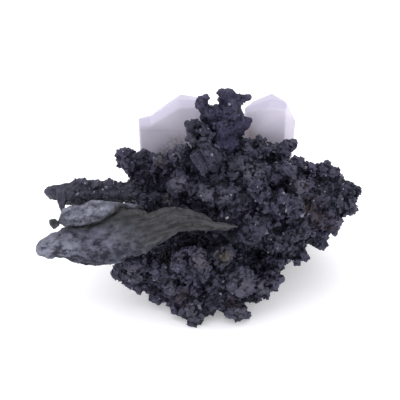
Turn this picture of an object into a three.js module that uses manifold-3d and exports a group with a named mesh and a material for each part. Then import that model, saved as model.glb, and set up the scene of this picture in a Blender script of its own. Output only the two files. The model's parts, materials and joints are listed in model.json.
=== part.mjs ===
// A native silver specimen: a hackly mass of tarnished silver crystals with a spire, an arm and two
// horn-like blades, grown against two calcite crystals.
// Millimetres, +Z up, +X along the length towards the wing, +Y towards the calcite at the back.
// The specimen rests at z = 0 on the face where it was parted from its rock and trimmed flat.
import * as THREE from "three";
import { ConvexGeometry } from "three/addons/geometries/ConvexGeometry.js";
import { mergeVertices } from "three/addons/utils/BufferGeometryUtils.js";
import Module from "manifold-3d";

const wasm = await Module();
wasm.setup();

// ---------------------------------------------------------------- driving dimensions

const SEED = 21;
const MASS_SEED = 13;
const SPIRE_SEED = 5;
const SOCKET_GAP = 0.4; // how much a socket's corners clear the piece that grew in it
const TRIM_DEPTH = 30; // thickness of the block that trims the underside
const TRIM_SIDE = 140;

const HEART_CORNERS = 16;
const HEART_ROUGHNESS = 0.1; // how far its corners stray, as a share of its half sizes

const LUMP_CORNERS = 8;
const LUMP_ROUGHNESS = 0.12; // how far a lump's corners stray from a sphere, as a share
const LUMP_SPACING = 1.0; // the most between lumps along a finger, as a share of its two end radii
const LUMP_OVERLAP = 0.92; // half a lump's length along its finger, as a share of the spacing
const LUMP_STRAY = 0.2; // how far it lies off the finger's line, as a share of its radius
const LUMP_VARIETY = [0.85, 1.12]; // its radius, as a share of the finger's there
const ROOT_SWELL = 1.15; // how much thicker a finger is at its root

const STUD_CORNERS = 6; // a small crystal, nearly an octahedron
const STUD_SIZE = [0.36, 0.52]; // its radius, as a share of the lump's
const STUD_STRETCH = [1, 1.5];
const STUD_SEAT = 0.9; // where it sits, as a share of the lump's radius
const STUD_TURN = -0.2; // the least that it faces along its finger, as a cosine

const HORN_SIDES = 10;
const HORN_SQUARENESS = 1.55; // 2 is an ellipse and 1 a diamond, so the section has a keel
const HORN_ROUGHNESS = 0.07;

// Each clump has its middle, its half sizes, how far into it its fingers root, the small crystals at each
// tip, and the tips: x, y, z and the radius there.
const CLUMPS = [
  { centre: [7, -1, 19], radii: [13, 11, 15] },
  {
    centre: [5, 0, 30], radii: [13, 8, 9.5], reach: 0.45, studCount: 1, // crown
    tips: [
      [-1.6, -1, 43.6, 2.4],
      [-6, -2, 37.6, 2.6],
      [-10.2, -2, 35.0, 2.6],
      [1.5, -5, 37.2, 2.9],
      [11, 3, 36.6, 2.7],
      [16, 3, 35.4, 2.8],
      [19.9, 5, 35.4, 2.4],
      [19.5, -2, 32.8, 3.2],
      [20.5, 2, 31.5, 3.0],
    ],
  },
  {
    centre: [-6, -2, 22], radii: [9, 8, 11], reach: 0.4, studCount: 0, // left shoulder
    tips: [
      [-15, 0, 29.4, 3.0],
      [-18.2, 1.5, 33.9, 3.8],
      [-16.5, 5, 21, 3.2],
      [-14.6, 1, 35.0, 2.3],
      [-13, -4, 26.5, 3.2],
      [-13, -7, 20, 3.2],
      [-14, -9, 13.5, 3.4],
    ],
  },
  {
    centre: [10, -5, 23], radii: [13, 7, 9], reach: 0.3, studCount: 0, // front
    tips: [
      [12.2, -7, 32.4, 3.6],
      [20, -9, 27.6, 3.5],
      [24.5, -8, 21.3, 3.6],
      [7, -9, 30, 3.4],
      [0, -8, 31.5, 3.4],
      [-6, -6, 32, 3.4],
      [12.5, -13, 23.5, 3.5],
      [17.5, -11.5, 18.3, 3.5],
      [5, -12.5, 24, 3.4],
    ],
  },
  {
    centre: [1, -8.5, 6.5], radii: [16, 8, 9], reach: 0.35, studCount: 1, // foot
    tips: [
      [-17.2, -10.2, 7.5, 2.9],
      [-15.2, -12, 6.0, 2.2],
      [-20.8, -9, 8.7, 2.1],
      [-11, -13.5, 3.5, 2.0],
      [-6.7, -16, 2.8, 2.1],
      [-3.6, -18, 2.2, 2.2],
      [-1.7, -19.6, 1.6, 2.4],
      [2.5, -17.5, 3.6, 2.3],
      [8.8, -18.6, 2.0, 2.6],
      [9.8, -17, 11.6, 3.4],
      [15.1, -14.5, 6.2, 2.8],
      [16.8, -12.5, 9.2, 2.5],
      [-0.5, -17, 16.0, 2.9],
      [-5, -16, 14.8, 2.5],
      [4.7, -15.5, 17.6, 2.7],
      [-8, -13.5, 10, 3.2],
      [2.5, -15.5, 9.5, 3.0],
    ],
  },
  {
    centre: [27, -1, 21.5], radii: [9.5, 6, 7.5], reach: 0.45, studCount: 1, // right wing
    tips: [
      [18.5, -8.5, 10.4, 2.6],
      [24.1, -8, 12.7, 2.6],
      [29.4, -5, 15.3, 2.5],
      [32.2, -3, 18.4, 2.6],
      [36.4, 0, 21.8, 2.6],
      [38.9, 2, 25.1, 2.0],
      [34.9, 3, 27.5, 1.8],
      [32.1, 4, 29.2, 1.9],
      [27.5, 3, 29.6, 2.4],
      [24.3, 5, 31.4, 1.6],
      [24, -3, 28.3, 3.2],
      [22.5, 1, 29.5, 3.2],
      [30.5, -3, 24.3, 3.2],
      [20.5, 2.5, 26.5, 3.6],
      [30, 8, 20, 3.0],
      [27, 10, 25, 3.0],
    ],
  },
  {
    centre: [-7, 14, 8], radii: [13.5, 11.5, 12], reach: 0.35, studCount: 0, // round the left calcite
    tips: [
      [-18, 15, 19, 3.0],
      [-19.5, 10, 12, 3.4],
      [-19, 19, 6, 3.4],
      [-10, 25.5, 9, 3.4],
    ],
  },
  {
    centre: [17, 14, 8], radii: [13.5, 11.5, 12], reach: 0.35, studCount: 0, // round the right calcite
    tips: [
      [26, 18, 19, 3.0],
      [28.5, 11, 12, 3.4],
      [28, 19, 6, 3.4],
      [19, 25.5, 9, 3.4],
    ],
  },
  {
    centre: [4.5, 14, 18], radii: [7, 9, 12], reach: 0.3, studCount: 0, // between the calcites
    tips: [
      [4.5, 14, 33, 3.2],
      [4.5, 23, 19, 3.4],
    ],
  },
];
// Single fingers that don't come from a heart: root, tip, the radius at each, and small crystals.
const PRONGS = [
  [[27.5, 3.5, 29.6], [31.4, 4, 32.0], 2.0, 1.3, 1],
  [[15.5, 3, 36.0], [14, 3, 39.0], 1.9, 0.9, 0],
  [[-15, 1, 32.3], [-14, 1, 34.0], 1.3, 1.0, 0],
  [[-12, -10.5, 10.5], [-18.4, -12.8, 12.8], 3.0, 2.2, 0],
];

// The spire's fingers: root, tip, the radius at each, and the small crystals at the tip.
const SPIRE_FINGERS = [
  [[5.5, 1, 33], [5.2, 2, 42.5], 4.7, 4.5, 0], // stem
  [[3.8, 2.5, 42], [2.6, 3, 45.4], 3.6, 3.0, 0],
  [[6.4, 2.5, 42], [7.2, 3, 45.4], 3.8, 3.3, 0],
  [[3.6, 2.8, 44], [3.4, 3, 46.9], 2.4, 1.5, 0],
  [[2.2, 3, 46], [-0.1, 3, 48.9], 2.2, 1.7, 1], // left arm
  [[3, 3, 44], [0.6, 3, 45.2], 1.8, 1.3, 0],
  [[6.8, 3.5, 46], [6.1, 4, 50.3], 2.9, 2.1, 1], // head
  [[6.8, 4, 48.7], [8.8, 4, 49.3], 2.2, 1.5, 0], // beak
  [[8.8, 4, 49.6], [11.1, 4, 50.2], 1.3, 0.8, 0],
  [[7.5, 3, 42.6], [10.3, 3, 43.4], 2.2, 1.6, 1], // ear
];

// The arm and the blades run through stations of x, y, z, half height and half thickness, from end to end.
// A lean is how far the broad face leans back at each end, in degrees.
const ARM_LEAN = [10, 10];
const ARM = [
  [-38.3, -5, 29.1, 0.1, 0.5],
  [-37.8, -5, 29.1, 1.1, 1.3],
  [-36.9, -5, 28.8, 1.7, 1.8],
  [-35.2, -5, 28.5, 2.1, 2.1],
  [-33, -4.8, 28.1, 3.1, 2.4],
  [-30.3, -4.5, 28.2, 3.4, 2.7],
  [-27.4, -4.1, 28.2, 3.1, 2.7],
  [-24.5, -3.6, 28.1, 3, 2.7],
  [-21.4, -3, 27.5, 2.8, 2.7],
  [-18.3, -2.2, 27.2, 2.6, 2.7],
  [-15.4, -1.5, 26.9, 2.2, 2.2],
  [-12.4, -1, 26.6, 0.1, 0.5],
];
const ARM_KNOBS = [
  [-28.9, -4.5, 31.2, 1.6],
  [-25.8, -4.6, 30.8, 1.7],
  [-22.9, -4, 30.5, 1.7],
  [-30.5, -6, 27.0, 2.0],
];
// The arm's flap hangs down from its end like a fang. It is a thin hull of these corners.
const ARM_FLAP = [
  [-35.4, -6.4, 30.2],
  [-33.3, -6.4, 30.2],
  [-35.2, -7.3, 27.6],
  [-33.2, -7.2, 27.9],
  [-34.6, -7.8, 25.8],
  [-33.5, -7.8, 25.6],
  [-34.1, -7.9, 24.2],
];
const ARM_FLAP_THICKNESS = 1.1;

const LARGE_BLADE_LEAN = [28, 36];
const LARGE_BLADE = [
  [-40.7, -11, 15.5, 0.1, 0.5],
  [-40.1, -11, 15.7, 1.5, 1.2],
  [-38.5, -11, 16.3, 2.6, 1.9],
  [-36.5, -11, 17, 3, 2.1],
  [-34.2, -11.2, 17.6, 3.4, 2.2],
  [-31.7, -11.5, 18.3, 4.7, 2.4],
  [-28.7, -11.8, 18.3, 5.6, 2.5],
  [-25.3, -12, 18.8, 5.9, 2.6],
  [-21.6, -12.3, 20, 6.2, 2.6],
  [-18.1, -12.6, 21.6, 6, 2.6],
  [-14.7, -12.8, 22.3, 5.6, 2.5],
  [-11.6, -13, 23.2, 4.3, 2.3],
  [-8.9, -13.2, 24.8, 3.8, 2.1],
  [-6, -13.6, 26.3, 3, 1.8],
  [-2.4, -14, 26.2, 2.7, 1.6],
  [0.5, -14.3, 25.6, 2.1, 1.3],
  [2.6, -14.6, 24.9, 1.1, 1],
  [5.7, -14.8, 24.9, 0.9, 0.8],
  [8.8, -15, 25.1, 0.1, 0.5],
];

const SMALL_BLADE_LEAN = [22, 30];
const SMALL_BLADE = [
  [-35, -10.5, 23.5, 0.1, 0.5],
  [-33.7, -10.5, 23.7, 1.4, 1],
  [-32.6, -10.5, 24.9, 2.5, 1.3],
  [-30.9, -10.4, 25.5, 1.9, 1.4],
  [-28.5, -10.2, 25.8, 2.1, 1.5],
  [-26.3, -10, 26, 2.9, 1.6],
  [-23.9, -9.6, 26.3, 2.7, 1.6],
  [-21.6, -9, 26, 2.1, 1.5],
  [-19.2, -8, 26, 1.3, 1.2],
  [-17.1, -6.9, 25.8, 0.8, 0.9],
  [-14.8, -5, 24.9, 0.1, 0.5],
];
const SMALL_BLADE_KNOB = [-35.9, -10.5, 23.2, 1.5];

// Each calcite crystal is a flattened six-sided prism with a chisel crown. Its rings are x, y, z, half
// width, half depth and how much of the width the broad face takes. Its crown is given by its corners.
const LEFT_PRISM = [
  [-7, 16, 0, 6.2, 4.6, 0.8],
  [-6, 15.8, 34, 8.2, 5.3, 0.85],
];
const LEFT_CROWN = [
  [-12.6, 10.5, 39.7],
  [-5.5, 10.5, 44.2],
  [0.7, 10.5, 44.2],
  [-13.1, 11.9, 40.8],
  [-6.0, 11.9, 45.9],
  [-2.0, 11.9, 45.7],
  [1.2, 11.9, 44.8],
  [-12.5, 19.5, 38.5],
  [-5.5, 20.0, 43.5],
  [0.5, 20.0, 42.5],
];
const LEFT_SIDE_PRISM = [
  [-11, 15.5, 0, 4.2, 4.0, 0.8],
  [-12, 15.5, 34, 4.2, 4.6, 0.8],
];
const LEFT_SIDE_CROWN = [
  [-15.9, 10.9, 39.2],
  [-12.6, 10.9, 39.8],
  [-16.1, 12.2, 40.3],
  [-13.1, 12.2, 40.7],
  [-16.0, 18.5, 37.5],
  [-11.0, 19.5, 38.5],
];
const RIGHT_PRISM = [
  [17, 16.5, 0, 5.0, 4.2, 0.55],
  [16.6, 15.8, 32, 6.6, 5.2, 0.55],
  [17.4, 15.6, 37.5, 6.4, 5.3, 0.55],
];
const RIGHT_CROWN = [
  [11.1, 13.0, 41.3],
  [13.7, 10.9, 43.1],
  [16.4, 10.3, 44.3],
  [20.9, 10.3, 43.7],
  [22.5, 13.0, 39.6],
  [10.9, 14.0, 42.5],
  [12.6, 13.5, 42.7],
  [15.3, 12.2, 44.7],
  [17.2, 11.9, 45.9],
  [18.7, 11.9, 45.7],
  [21.3, 12.2, 44.4],
  [22.4, 12.8, 41.9],
  [23.8, 13.8, 38.9],
  [13.0, 20.0, 41.5],
  [18.0, 20.5, 43.5],
  [21.5, 20.0, 41.5],
];

const TARNISHED = { color: 0x25252d, roughness: 0.5, metalness: 0.7 };
const PATINATED = { color: 0x5b5f60, roughness: 0.65, metalness: 0.3 };
const MILKY = { color: 0xd9d4e0, roughness: 0.35, metalness: 0 };

// ---------------------------------------------------------------- helpers

// Seeded random numbers, so that the specimen is the same each time.
function randomFrom(seed) {
  let state = seed >>> 0;
  return () => {
    state = (state + 0x6d2b79f5) >>> 0;
    let mixed = Math.imul(state ^ (state >>> 15), state | 1);
    mixed ^= mixed + Math.imul(mixed ^ (mixed >>> 7), mixed | 61);
    return ((mixed ^ (mixed >>> 14)) >>> 0) / 4294967296;
  };
}
let random;
const between = (low, high) => low + (high - low) * random();

// Each piece draws chances of its own, so that a change to one leaves the others as they are.
function seeded(seed, make) {
  random = randomFrom(seed);
  return make();
}
const vector = (p) => new THREE.Vector3(...p);

// Even directions all round, turned at random.
function directions(count) {
  const turn = between(0, Math.PI * 2);
  const golden = Math.PI * (3 - Math.sqrt(5));
  return Array.from({ length: count }, (_, i) => {
    const z = 1 - (2 * (i + 0.5)) / count;
    const ring = Math.sqrt(1 - z * z);
    return new THREE.Vector3(
      ring * Math.cos(turn + golden * i),
      ring * Math.sin(turn + golden * i),
      z,
    );
  });
}

// A geometry as a manifold-3d solid, and back.
function solidOf(geometry) {
  const bare = geometry.clone();
  bare.deleteAttribute("normal");
  bare.deleteAttribute("uv");
  const merged = mergeVertices(bare, 1e-4);
  return new wasm.Manifold(
    new wasm.Mesh({
      numProp: 3,
      vertProperties: new Float32Array(merged.attributes.position.array),
      triVerts: new Uint32Array(merged.index.array),
    }),
  );
}
function geometryOf(solid) {
  const mesh = solid.getMesh();
  const geometry = new THREE.BufferGeometry();
  geometry.setAttribute("position", new THREE.BufferAttribute(mesh.vertProperties, 3));
  geometry.setIndex(new THREE.BufferAttribute(mesh.triVerts, 1));
  const faceted = geometry.toNonIndexed();
  faceted.computeVertexNormals();
  return faceted;
}

// Joined two by two, which keeps each step small.
function join(solids) {
  if (solids.length === 1) return solids[0];
  const half = Math.ceil(solids.length / 2);
  return join(solids.slice(0, half)).add(join(solids.slice(half)));
}

// What is left in one piece after a cut, without its crumbs.
function largest(solid) {
  return solid.decompose().reduce((a, b) => (a.volume() > b.volume() ? a : b));
}

// ---------------------------------------------------------------- silver crystals

// One crystal lump: a flat-faced body with its corners near a sphere, drawn out along an axis.
// It is kept as its corners about its centre, so that the same lump can be made a little larger.
function lump(centre, radius, corners = LUMP_CORNERS, stretch = 1, axis = new THREE.Vector3(0, 0, 1)) {
  const spin = new THREE.Quaternion().setFromEuler(
    new THREE.Euler(between(0, Math.PI), between(0, Math.PI), between(0, Math.PI)),
  );
  const unit = axis.clone().normalize();
  const points = directions(corners).map((d) => {
    d.applyQuaternion(spin);
    d.addScaledVector(unit, (stretch - 1) * d.dot(unit));
    return d.multiplyScalar(radius * between(1 - LUMP_ROUGHNESS, 1 + LUMP_ROUGHNESS));
  });
  return { centre, points };
}
function solidOfLump({ centre, points }, grow = 0) {
  const grown = points.map((p) => p.clone().setLength(p.length() + grow).add(centre));
  return solidOf(new ConvexGeometry(grown));
}
const solidOfLumps = (lumps, grow = 0) => join(lumps.map((one) => solidOfLump(one, grow)));

// Small crystals that stand out of a lump, away from where its finger comes from.
function studs(count, centre, radius, outward) {
  return directions(count * 2)
    .filter((d) => d.dot(outward) > STUD_TURN)
    .slice(0, count)
    .map((d) => {
      const seat = centre.clone().addScaledVector(d, radius * STUD_SEAT);
      return lump(seat, radius * between(...STUD_SIZE), STUD_CORNERS, between(...STUD_STRETCH), d);
    });
}

// A finger of lumps from root to tip, each drawn out along it, with small crystals round its tip.
function finger(root, tip, rootRadius, tipRadius, studCount) {
  const from = vector(root);
  const along = vector(tip).sub(from);
  const steps = Math.ceil(along.length() / (LUMP_SPACING * (rootRadius + tipRadius)));
  const halfLength = (LUMP_OVERLAP * along.length()) / steps;
  const lumps = [];
  for (let i = 0; i < steps; i++) {
    const share = i / steps;
    const radius = (rootRadius + (tipRadius - rootRadius) * share) * between(...LUMP_VARIETY);
    const stray = LUMP_STRAY * radius;
    const centre = from.clone().addScaledVector(along, share);
    centre.add(new THREE.Vector3(between(-stray, stray), between(-stray, stray), between(-stray, stray)));
    lumps.push(lump(centre, radius, LUMP_CORNERS, Math.max(1, halfLength / radius), along));
  }
  const end = vector(tip);
  lumps.push(lump(end, tipRadius));
  lumps.push(...studs(studCount, end, tipRadius, along.clone().normalize()));
  return lumps;
}

// A clump is a rough heart with fingers that grow out of it, each given by its tip and its radius there.
function clump({ centre, radii, reach = 0, studCount = 0, tips = [] }) {
  const heart = vector(centre);
  const points = directions(HEART_CORNERS).map((d) =>
    d.multiply(vector(radii)).multiplyScalar(between(1 - HEART_ROUGHNESS, 1 + HEART_ROUGHNESS)),
  );
  const fingers = tips.flatMap(([x, y, z, tipRadius]) => {
    const root = vector([x, y, z]).lerp(heart, reach);
    return finger(root.toArray(), [x, y, z], tipRadius * ROOT_SWELL, tipRadius, studCount);
  });
  return [{ centre: heart, points }, ...fingers];
}

// ---------------------------------------------------------------- horns

// A horn or blade of silver: a sphere drawn out along a line of stations, with a ring at each.
function horn(stations, lean, grow = 0) {
  const own = randomFrom(SEED);
  const rows = stations.length - 1;
  const line = new THREE.CatmullRomCurve3(stations.map(([x, y, z]) => new THREE.Vector3(x, y, z)));
  const sizes = new THREE.CatmullRomCurve3(
    stations.map(([, , , height, thickness]) => new THREE.Vector3(height, thickness, 0)),
  );
  const geometry = new THREE.SphereGeometry(1, HORN_SIDES, rows);
  const position = geometry.attributes.position;
  const power = 2 / HORN_SQUARENESS;
  for (let row = 0; row <= rows; row++) {
    const share = 1 - row / rows;
    const centre = line.getPoint(share);
    const along = line.getTangent(share);
    const size = sizes.getPoint(share);
    const angle = THREE.MathUtils.degToRad(lean[0] + (lean[1] - lean[0]) * share);
    const up = new THREE.Vector3(0, Math.sin(angle), Math.cos(angle));
    up.addScaledVector(along, -up.dot(along)).normalize();
    const back = up.clone().cross(along);
    const pole = row === 0 || row === rows;
    const firstRough = own();
    for (let side = 0; side <= HORN_SIDES; side++) {
      const turn = (side / HORN_SIDES) * Math.PI * 2;
      const rough = 1 + HORN_ROUGHNESS * (2 * (side === 0 || side === HORN_SIDES ? firstRough : own()) - 1);
      const reach = (value, half) => Math.sign(value) * Math.abs(value) ** power * (half * rough + grow);
      const point = centre.clone();
      if (pole) point.addScaledVector(along, row === 0 ? grow : -grow);
      else
        point
          .addScaledVector(up, reach(-Math.cos(turn), size.x))
          .addScaledVector(back, reach(Math.sin(turn), size.y));
      position.setXYZ(row * (HORN_SIDES + 1) + side, point.x, point.y, point.z);
    }
  }
  return solidOf(geometry);
}

// ---------------------------------------------------------------- calcite

// One calcite crystal: the hull of its prism and its crown. grow makes it larger all round its upright
// axis, and taller.
function crystal(rings, crown, grow = 0) {
  const prism = rings.flatMap(([x, y, z, halfWidth, halfDepth, faceShare]) => [
    [x - halfWidth, y, z],
    [x + halfWidth, y, z],
    [x - halfWidth * faceShare, y - halfDepth, z],
    [x + halfWidth * faceShare, y - halfDepth, z],
    [x - halfWidth * faceShare, y + halfDepth, z],
    [x + halfWidth * faceShare, y + halfDepth, z],
  ]);
  const [axisX, axisY] = rings[0];
  const corners = [...prism, ...crown].map(([x, y, z]) => {
    const out = new THREE.Vector2(x - axisX, y - axisY);
    out.setLength(out.length() + grow);
    return new THREE.Vector3(axisX + out.x, axisY + out.y, z > 0 ? z + grow : z - grow);
  });
  return solidOf(new ConvexGeometry(corners));
}

// ---------------------------------------------------------------- the pieces

const spireLumps = seeded(SPIRE_SEED, () => SPIRE_FINGERS.flatMap((row) => finger(...row)));
const silverSpire = (grow = 0) => largest(solidOfLumps(spireLumps, grow));

const armLumps = seeded(SEED, () =>
  ARM_KNOBS.map(([x, y, z, radius]) => lump(vector([x, y, z]), radius)),
);
function armFlap(grow) {
  const centre = ARM_FLAP.reduce((sum, corner) => sum.add(vector(corner)), new THREE.Vector3());
  centre.divideScalar(ARM_FLAP.length);
  const points = [-0.5, 0.5].flatMap((side) =>
    ARM_FLAP.map(([x, y, z]) => vector([x, y + side * ARM_FLAP_THICKNESS, z]).sub(centre)),
  );
  return solidOfLump({ centre, points }, grow);
}
function silverArm(grow = 0) {
  const branch = join([horn(ARM, ARM_LEAN, grow), armFlap(grow), solidOfLumps(armLumps, grow)]);
  return grow ? branch : branch.subtract(smallBlade(SOCKET_GAP)).subtract(largeBlade(SOCKET_GAP));
}

const largeBlade = (grow = 0) => horn(LARGE_BLADE, LARGE_BLADE_LEAN, grow);

const bladeKnob = seeded(SEED, () =>
  lump(vector(SMALL_BLADE_KNOB.slice(0, 3)), SMALL_BLADE_KNOB[3]),
);
function smallBlade(grow = 0) {
  const blade = horn(SMALL_BLADE, SMALL_BLADE_LEAN, grow).add(solidOfLump(bladeKnob, grow));
  return grow ? blade : blade.subtract(largeBlade(SOCKET_GAP));
}

function leftCalcite(grow = 0) {
  return crystal(LEFT_PRISM, LEFT_CROWN, grow).add(crystal(LEFT_SIDE_PRISM, LEFT_SIDE_CROWN, grow));
}
const rightCalcite = (grow = 0) => crystal(RIGHT_PRISM, RIGHT_CROWN, grow);

// The block below z = 0 that the specimen's underside is trimmed to.
function trimBlock() {
  const block = new THREE.BoxGeometry(TRIM_SIDE, TRIM_SIDE, TRIM_DEPTH);
  return solidOf(block.translate(0, 0, -TRIM_DEPTH / 2));
}

// The mass has a socket where each other piece grew in it.
function silverMass() {
  const lumps = seeded(MASS_SEED, () => [
    ...CLUMPS.flatMap(clump),
    ...PRONGS.flatMap((prong) => finger(...prong)),
  ]);
  const neighbours = [silverSpire, silverArm, largeBlade, smallBlade, leftCalcite, rightCalcite];
  const sockets = join(neighbours.map((piece) => piece(SOCKET_GAP)));
  return largest(solidOfLumps(lumps).subtract(sockets).subtract(trimBlock()));
}

// ---------------------------------------------------------------- the specimen

const specimen = new THREE.Group();
function place(name, solid, finish) {
  const mesh = new THREE.Mesh(geometryOf(solid), new THREE.MeshStandardMaterial(finish));
  mesh.name = name;
  specimen.add(mesh);
}
place("silver_mass", silverMass(), TARNISHED);
place("silver_spire", silverSpire(), TARNISHED);
place("silver_arm", silverArm(), TARNISHED);
place("silver_blade_large", largeBlade(), PATINATED);
place("silver_blade_small", smallBlade(), PATINATED);
place("calcite_left", leftCalcite(), MILKY);
place("calcite_right", rightCalcite(), MILKY);

// The frame's origin is the middle of the specimen's box, on the surface that it rests on.
const box = new THREE.Box3().setFromObject(specimen);
const middle = box.getCenter(new THREE.Vector3());
specimen.position.set(-middle.x, -middle.y, -box.min.z);

export default specimen;
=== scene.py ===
# %% [markdown]
# # A native silver specimen on two calcite crystals
#
# The specimen is a hackly mass of tiny silver crystals, black with tarnish, that grew between and around
# two milky calcite crystals. A spire, an arm and two horn-like blades grow out of it. Each of these is its
# own piece here. The plain solids come from the frame, and this lesson gives them the surface that the
# real thing has: broken facets, crevices, thousands of small crystals, grain along the blades and growth
# lines in the calcite.

# %% Load the plain solids
import json
import math
import random

import bpy
import numpy
from mathutils import Matrix, Vector

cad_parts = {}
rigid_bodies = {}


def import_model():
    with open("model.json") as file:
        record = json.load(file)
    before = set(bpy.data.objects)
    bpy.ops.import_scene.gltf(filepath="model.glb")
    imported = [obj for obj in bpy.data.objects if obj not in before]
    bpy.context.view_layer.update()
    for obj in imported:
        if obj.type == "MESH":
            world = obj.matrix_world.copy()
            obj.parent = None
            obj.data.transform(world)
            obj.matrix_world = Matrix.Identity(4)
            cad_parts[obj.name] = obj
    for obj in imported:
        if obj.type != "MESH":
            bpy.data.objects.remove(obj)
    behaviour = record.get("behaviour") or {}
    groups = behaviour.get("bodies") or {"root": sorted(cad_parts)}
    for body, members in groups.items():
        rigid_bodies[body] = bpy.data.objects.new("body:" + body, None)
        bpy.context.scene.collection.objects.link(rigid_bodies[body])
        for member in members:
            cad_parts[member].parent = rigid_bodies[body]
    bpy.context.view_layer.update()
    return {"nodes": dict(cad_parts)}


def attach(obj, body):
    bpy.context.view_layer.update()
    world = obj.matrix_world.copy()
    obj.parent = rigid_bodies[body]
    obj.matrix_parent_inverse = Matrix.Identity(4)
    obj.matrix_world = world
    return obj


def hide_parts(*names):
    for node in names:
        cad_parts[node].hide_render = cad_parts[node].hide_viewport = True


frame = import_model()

MM = 0.001
print("solids:", sorted(frame["nodes"]))

# %% [markdown]
# ## Camera, floor and light
#
# The specimen is small, so the camera is a long lens a little over a quarter of a metre away, and looks down
# at it by a third of a right angle. The floor is a pale sheet. A mineral is lit with very soft light, as in a
# light tent: a white surround and one broad lamp overhead. The surround could be built from walls, but a
# plain white world does the same and is simpler.

# %% Camera
VIEW_TARGET = Vector((-0.58, -3.26, 23.7)) * MM
VIEW_DISTANCE = 278 * MM
VIEW_ELEVATION = math.radians(30)
LENS_MM = 100
SENSOR_MM = 36


def nothing_selected():
    """Leaves edit mode and deselects every object, so that the next operator acts only on its own."""
    if bpy.context.object and bpy.context.object.mode != "OBJECT":
        bpy.ops.object.mode_set(mode="OBJECT")
    bpy.ops.object.select_all(action="DESELECT")


def only(piece):
    """Makes one object the selected and active one."""
    nothing_selected()
    piece.select_set(True)
    bpy.context.view_layer.objects.active = piece


nothing_selected()
towards_camera = Vector((0, -math.cos(VIEW_ELEVATION), math.sin(VIEW_ELEVATION)))
bpy.ops.object.camera_add(location=VIEW_TARGET + towards_camera * VIEW_DISTANCE)
camera = bpy.context.object
camera.name = "camera"
camera.rotation_euler = (-towards_camera).to_track_quat("-Z", "Y").to_euler()
camera.data.lens = LENS_MM
camera.data.sensor_width = SENSOR_MM
camera.data.clip_start = 0.01
bpy.context.scene.camera = camera
bpy.context.scene.view_settings.view_transform = "Standard"
print("camera at", tuple(round(c, 3) for c in camera.location))

# %% Floor and light
FLOOR_SIDE = 4.0
FLOOR_GLOW = 0.25  # the sheet is lit from below, as a light table is, so that it takes hardly any shadow
LAMP_AT = (-0.04, 0.03, 0.42)
LAMP_TURN = (math.radians(4), math.radians(-6), 0)
LAMP_WIDTH = 0.5
LAMP_POWER = 0.5


def set_inputs(node, **values):
    """Sets a node's inputs to plain values. An underscore in a name stands for a space."""
    for name, value in values.items():
        node.inputs[name.replace("_", " ")].default_value = value


def material(name, **values):
    """A new material whose shader has these values. Returns it, its node tree and its shader."""
    made = bpy.data.materials.new(name)
    made.use_nodes = True
    shader = made.node_tree.nodes["Principled BSDF"]
    set_inputs(shader, **values)
    return made, made.node_tree, shader


bpy.ops.mesh.primitive_plane_add(size=FLOOR_SIDE)
floor = bpy.context.object
floor.name = "floor"
paper, _, _ = material("white_paper", Base_Color=(0.93, 0.93, 0.94, 1), Roughness=0.9,
                       Emission_Color=(1, 1, 1, 1), Emission_Strength=FLOOR_GLOW)
floor.data.materials.append(paper)

bpy.ops.object.light_add(type="AREA", location=LAMP_AT)
overhead = bpy.context.object
overhead.name = "overhead_lamp"
overhead.data.shape = "DISK"
overhead.data.size = LAMP_WIDTH
overhead.data.energy = LAMP_POWER
overhead.rotation_euler = LAMP_TURN
print("lamp:", LAMP_POWER, "W over a disc of", LAMP_WIDTH, "m")

# %% [markdown]
# ## Wiring nodes by code
#
# Both the surface shapes and the finishes are made with nodes. A node could be added and linked line by
# line, but a small helper that takes what feeds each socket keeps the wiring readable.

# %% Wiring helpers
def add(tree, kind, feeds=None, **settings):
    """Adds a node, sets its settings, and feeds its sockets with other sockets or with plain values."""
    node = tree.nodes.new(kind)
    for name, value in settings.items():
        setattr(node, name, value)
    for key, value in (feeds or {}).items():
        if isinstance(value, bpy.types.NodeSocket):
            tree.links.new(value, node.inputs[key])
        else:
            node.inputs[key].default_value = value
    return node


def maths(tree, operation, first, second=0.0, third=0.0):
    """One Math node in either kind of tree."""
    feeds = {0: first, 1: second, 2: third}
    return add(tree, "ShaderNodeMath", feeds, operation=operation).outputs[0]


def chained(tree, operation, values):
    """Takes several values through one operation, one after the other."""
    result = values[0]
    for value in values[1:]:
        result = maths(tree, operation, result, value)
    return result


def total(tree, *values):
    return chained(tree, "ADD", values)


def product(tree, *values):
    return chained(tree, "MULTIPLY", values)


def vectors(tree, operation, first, second=(0, 0, 0), output=0):
    """One Vector Math node in either kind of tree."""
    feeds = {0: first}
    if operation == "SCALE":
        feeds["Scale"] = second
    else:
        feeds[1] = second
    return add(tree, "ShaderNodeVectorMath", feeds, operation=operation).outputs[output]


# %% Helpers for values
def ramp(tree, value, low, high, to_low=0.0, to_high=1.0):
    """Stretches a value from one range to another and holds it inside."""
    feeds = {"Value": value, "From Min": low, "From Max": high, "To Min": to_low, "To Max": to_high}
    return add(tree, "ShaderNodeMapRange", feeds, clamp=True).outputs["Result"]


def per_metre(tree, size):
    """The scale that gives a texture features of this size."""
    return maths(tree, "DIVIDE", 1.0, size)


def noise(tree, place, size, detail=2.0):
    """Noise with features of about this size, 0 to 1."""
    feeds = {"Vector": place, "Scale": per_metre(tree, size), "Detail": detail}
    return add(tree, "ShaderNodeTexNoise", feeds).outputs[0]


def centred(tree, value, height):
    """A value of 0 to 1 as a height about zero."""
    return product(tree, maths(tree, "SUBTRACT", value, 0.5), height)


def mixed(tree, share, first, second):
    """Mixes two colours."""
    node = add(tree, "ShaderNodeMix", {0: share, 6: first, 7: second}, data_type="RGBA")
    return node.outputs[2]


def parts_of(tree, vector):
    """The X, Y and Z of a vector."""
    return add(tree, "ShaderNodeSeparateXYZ", {0: vector}).outputs


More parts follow.
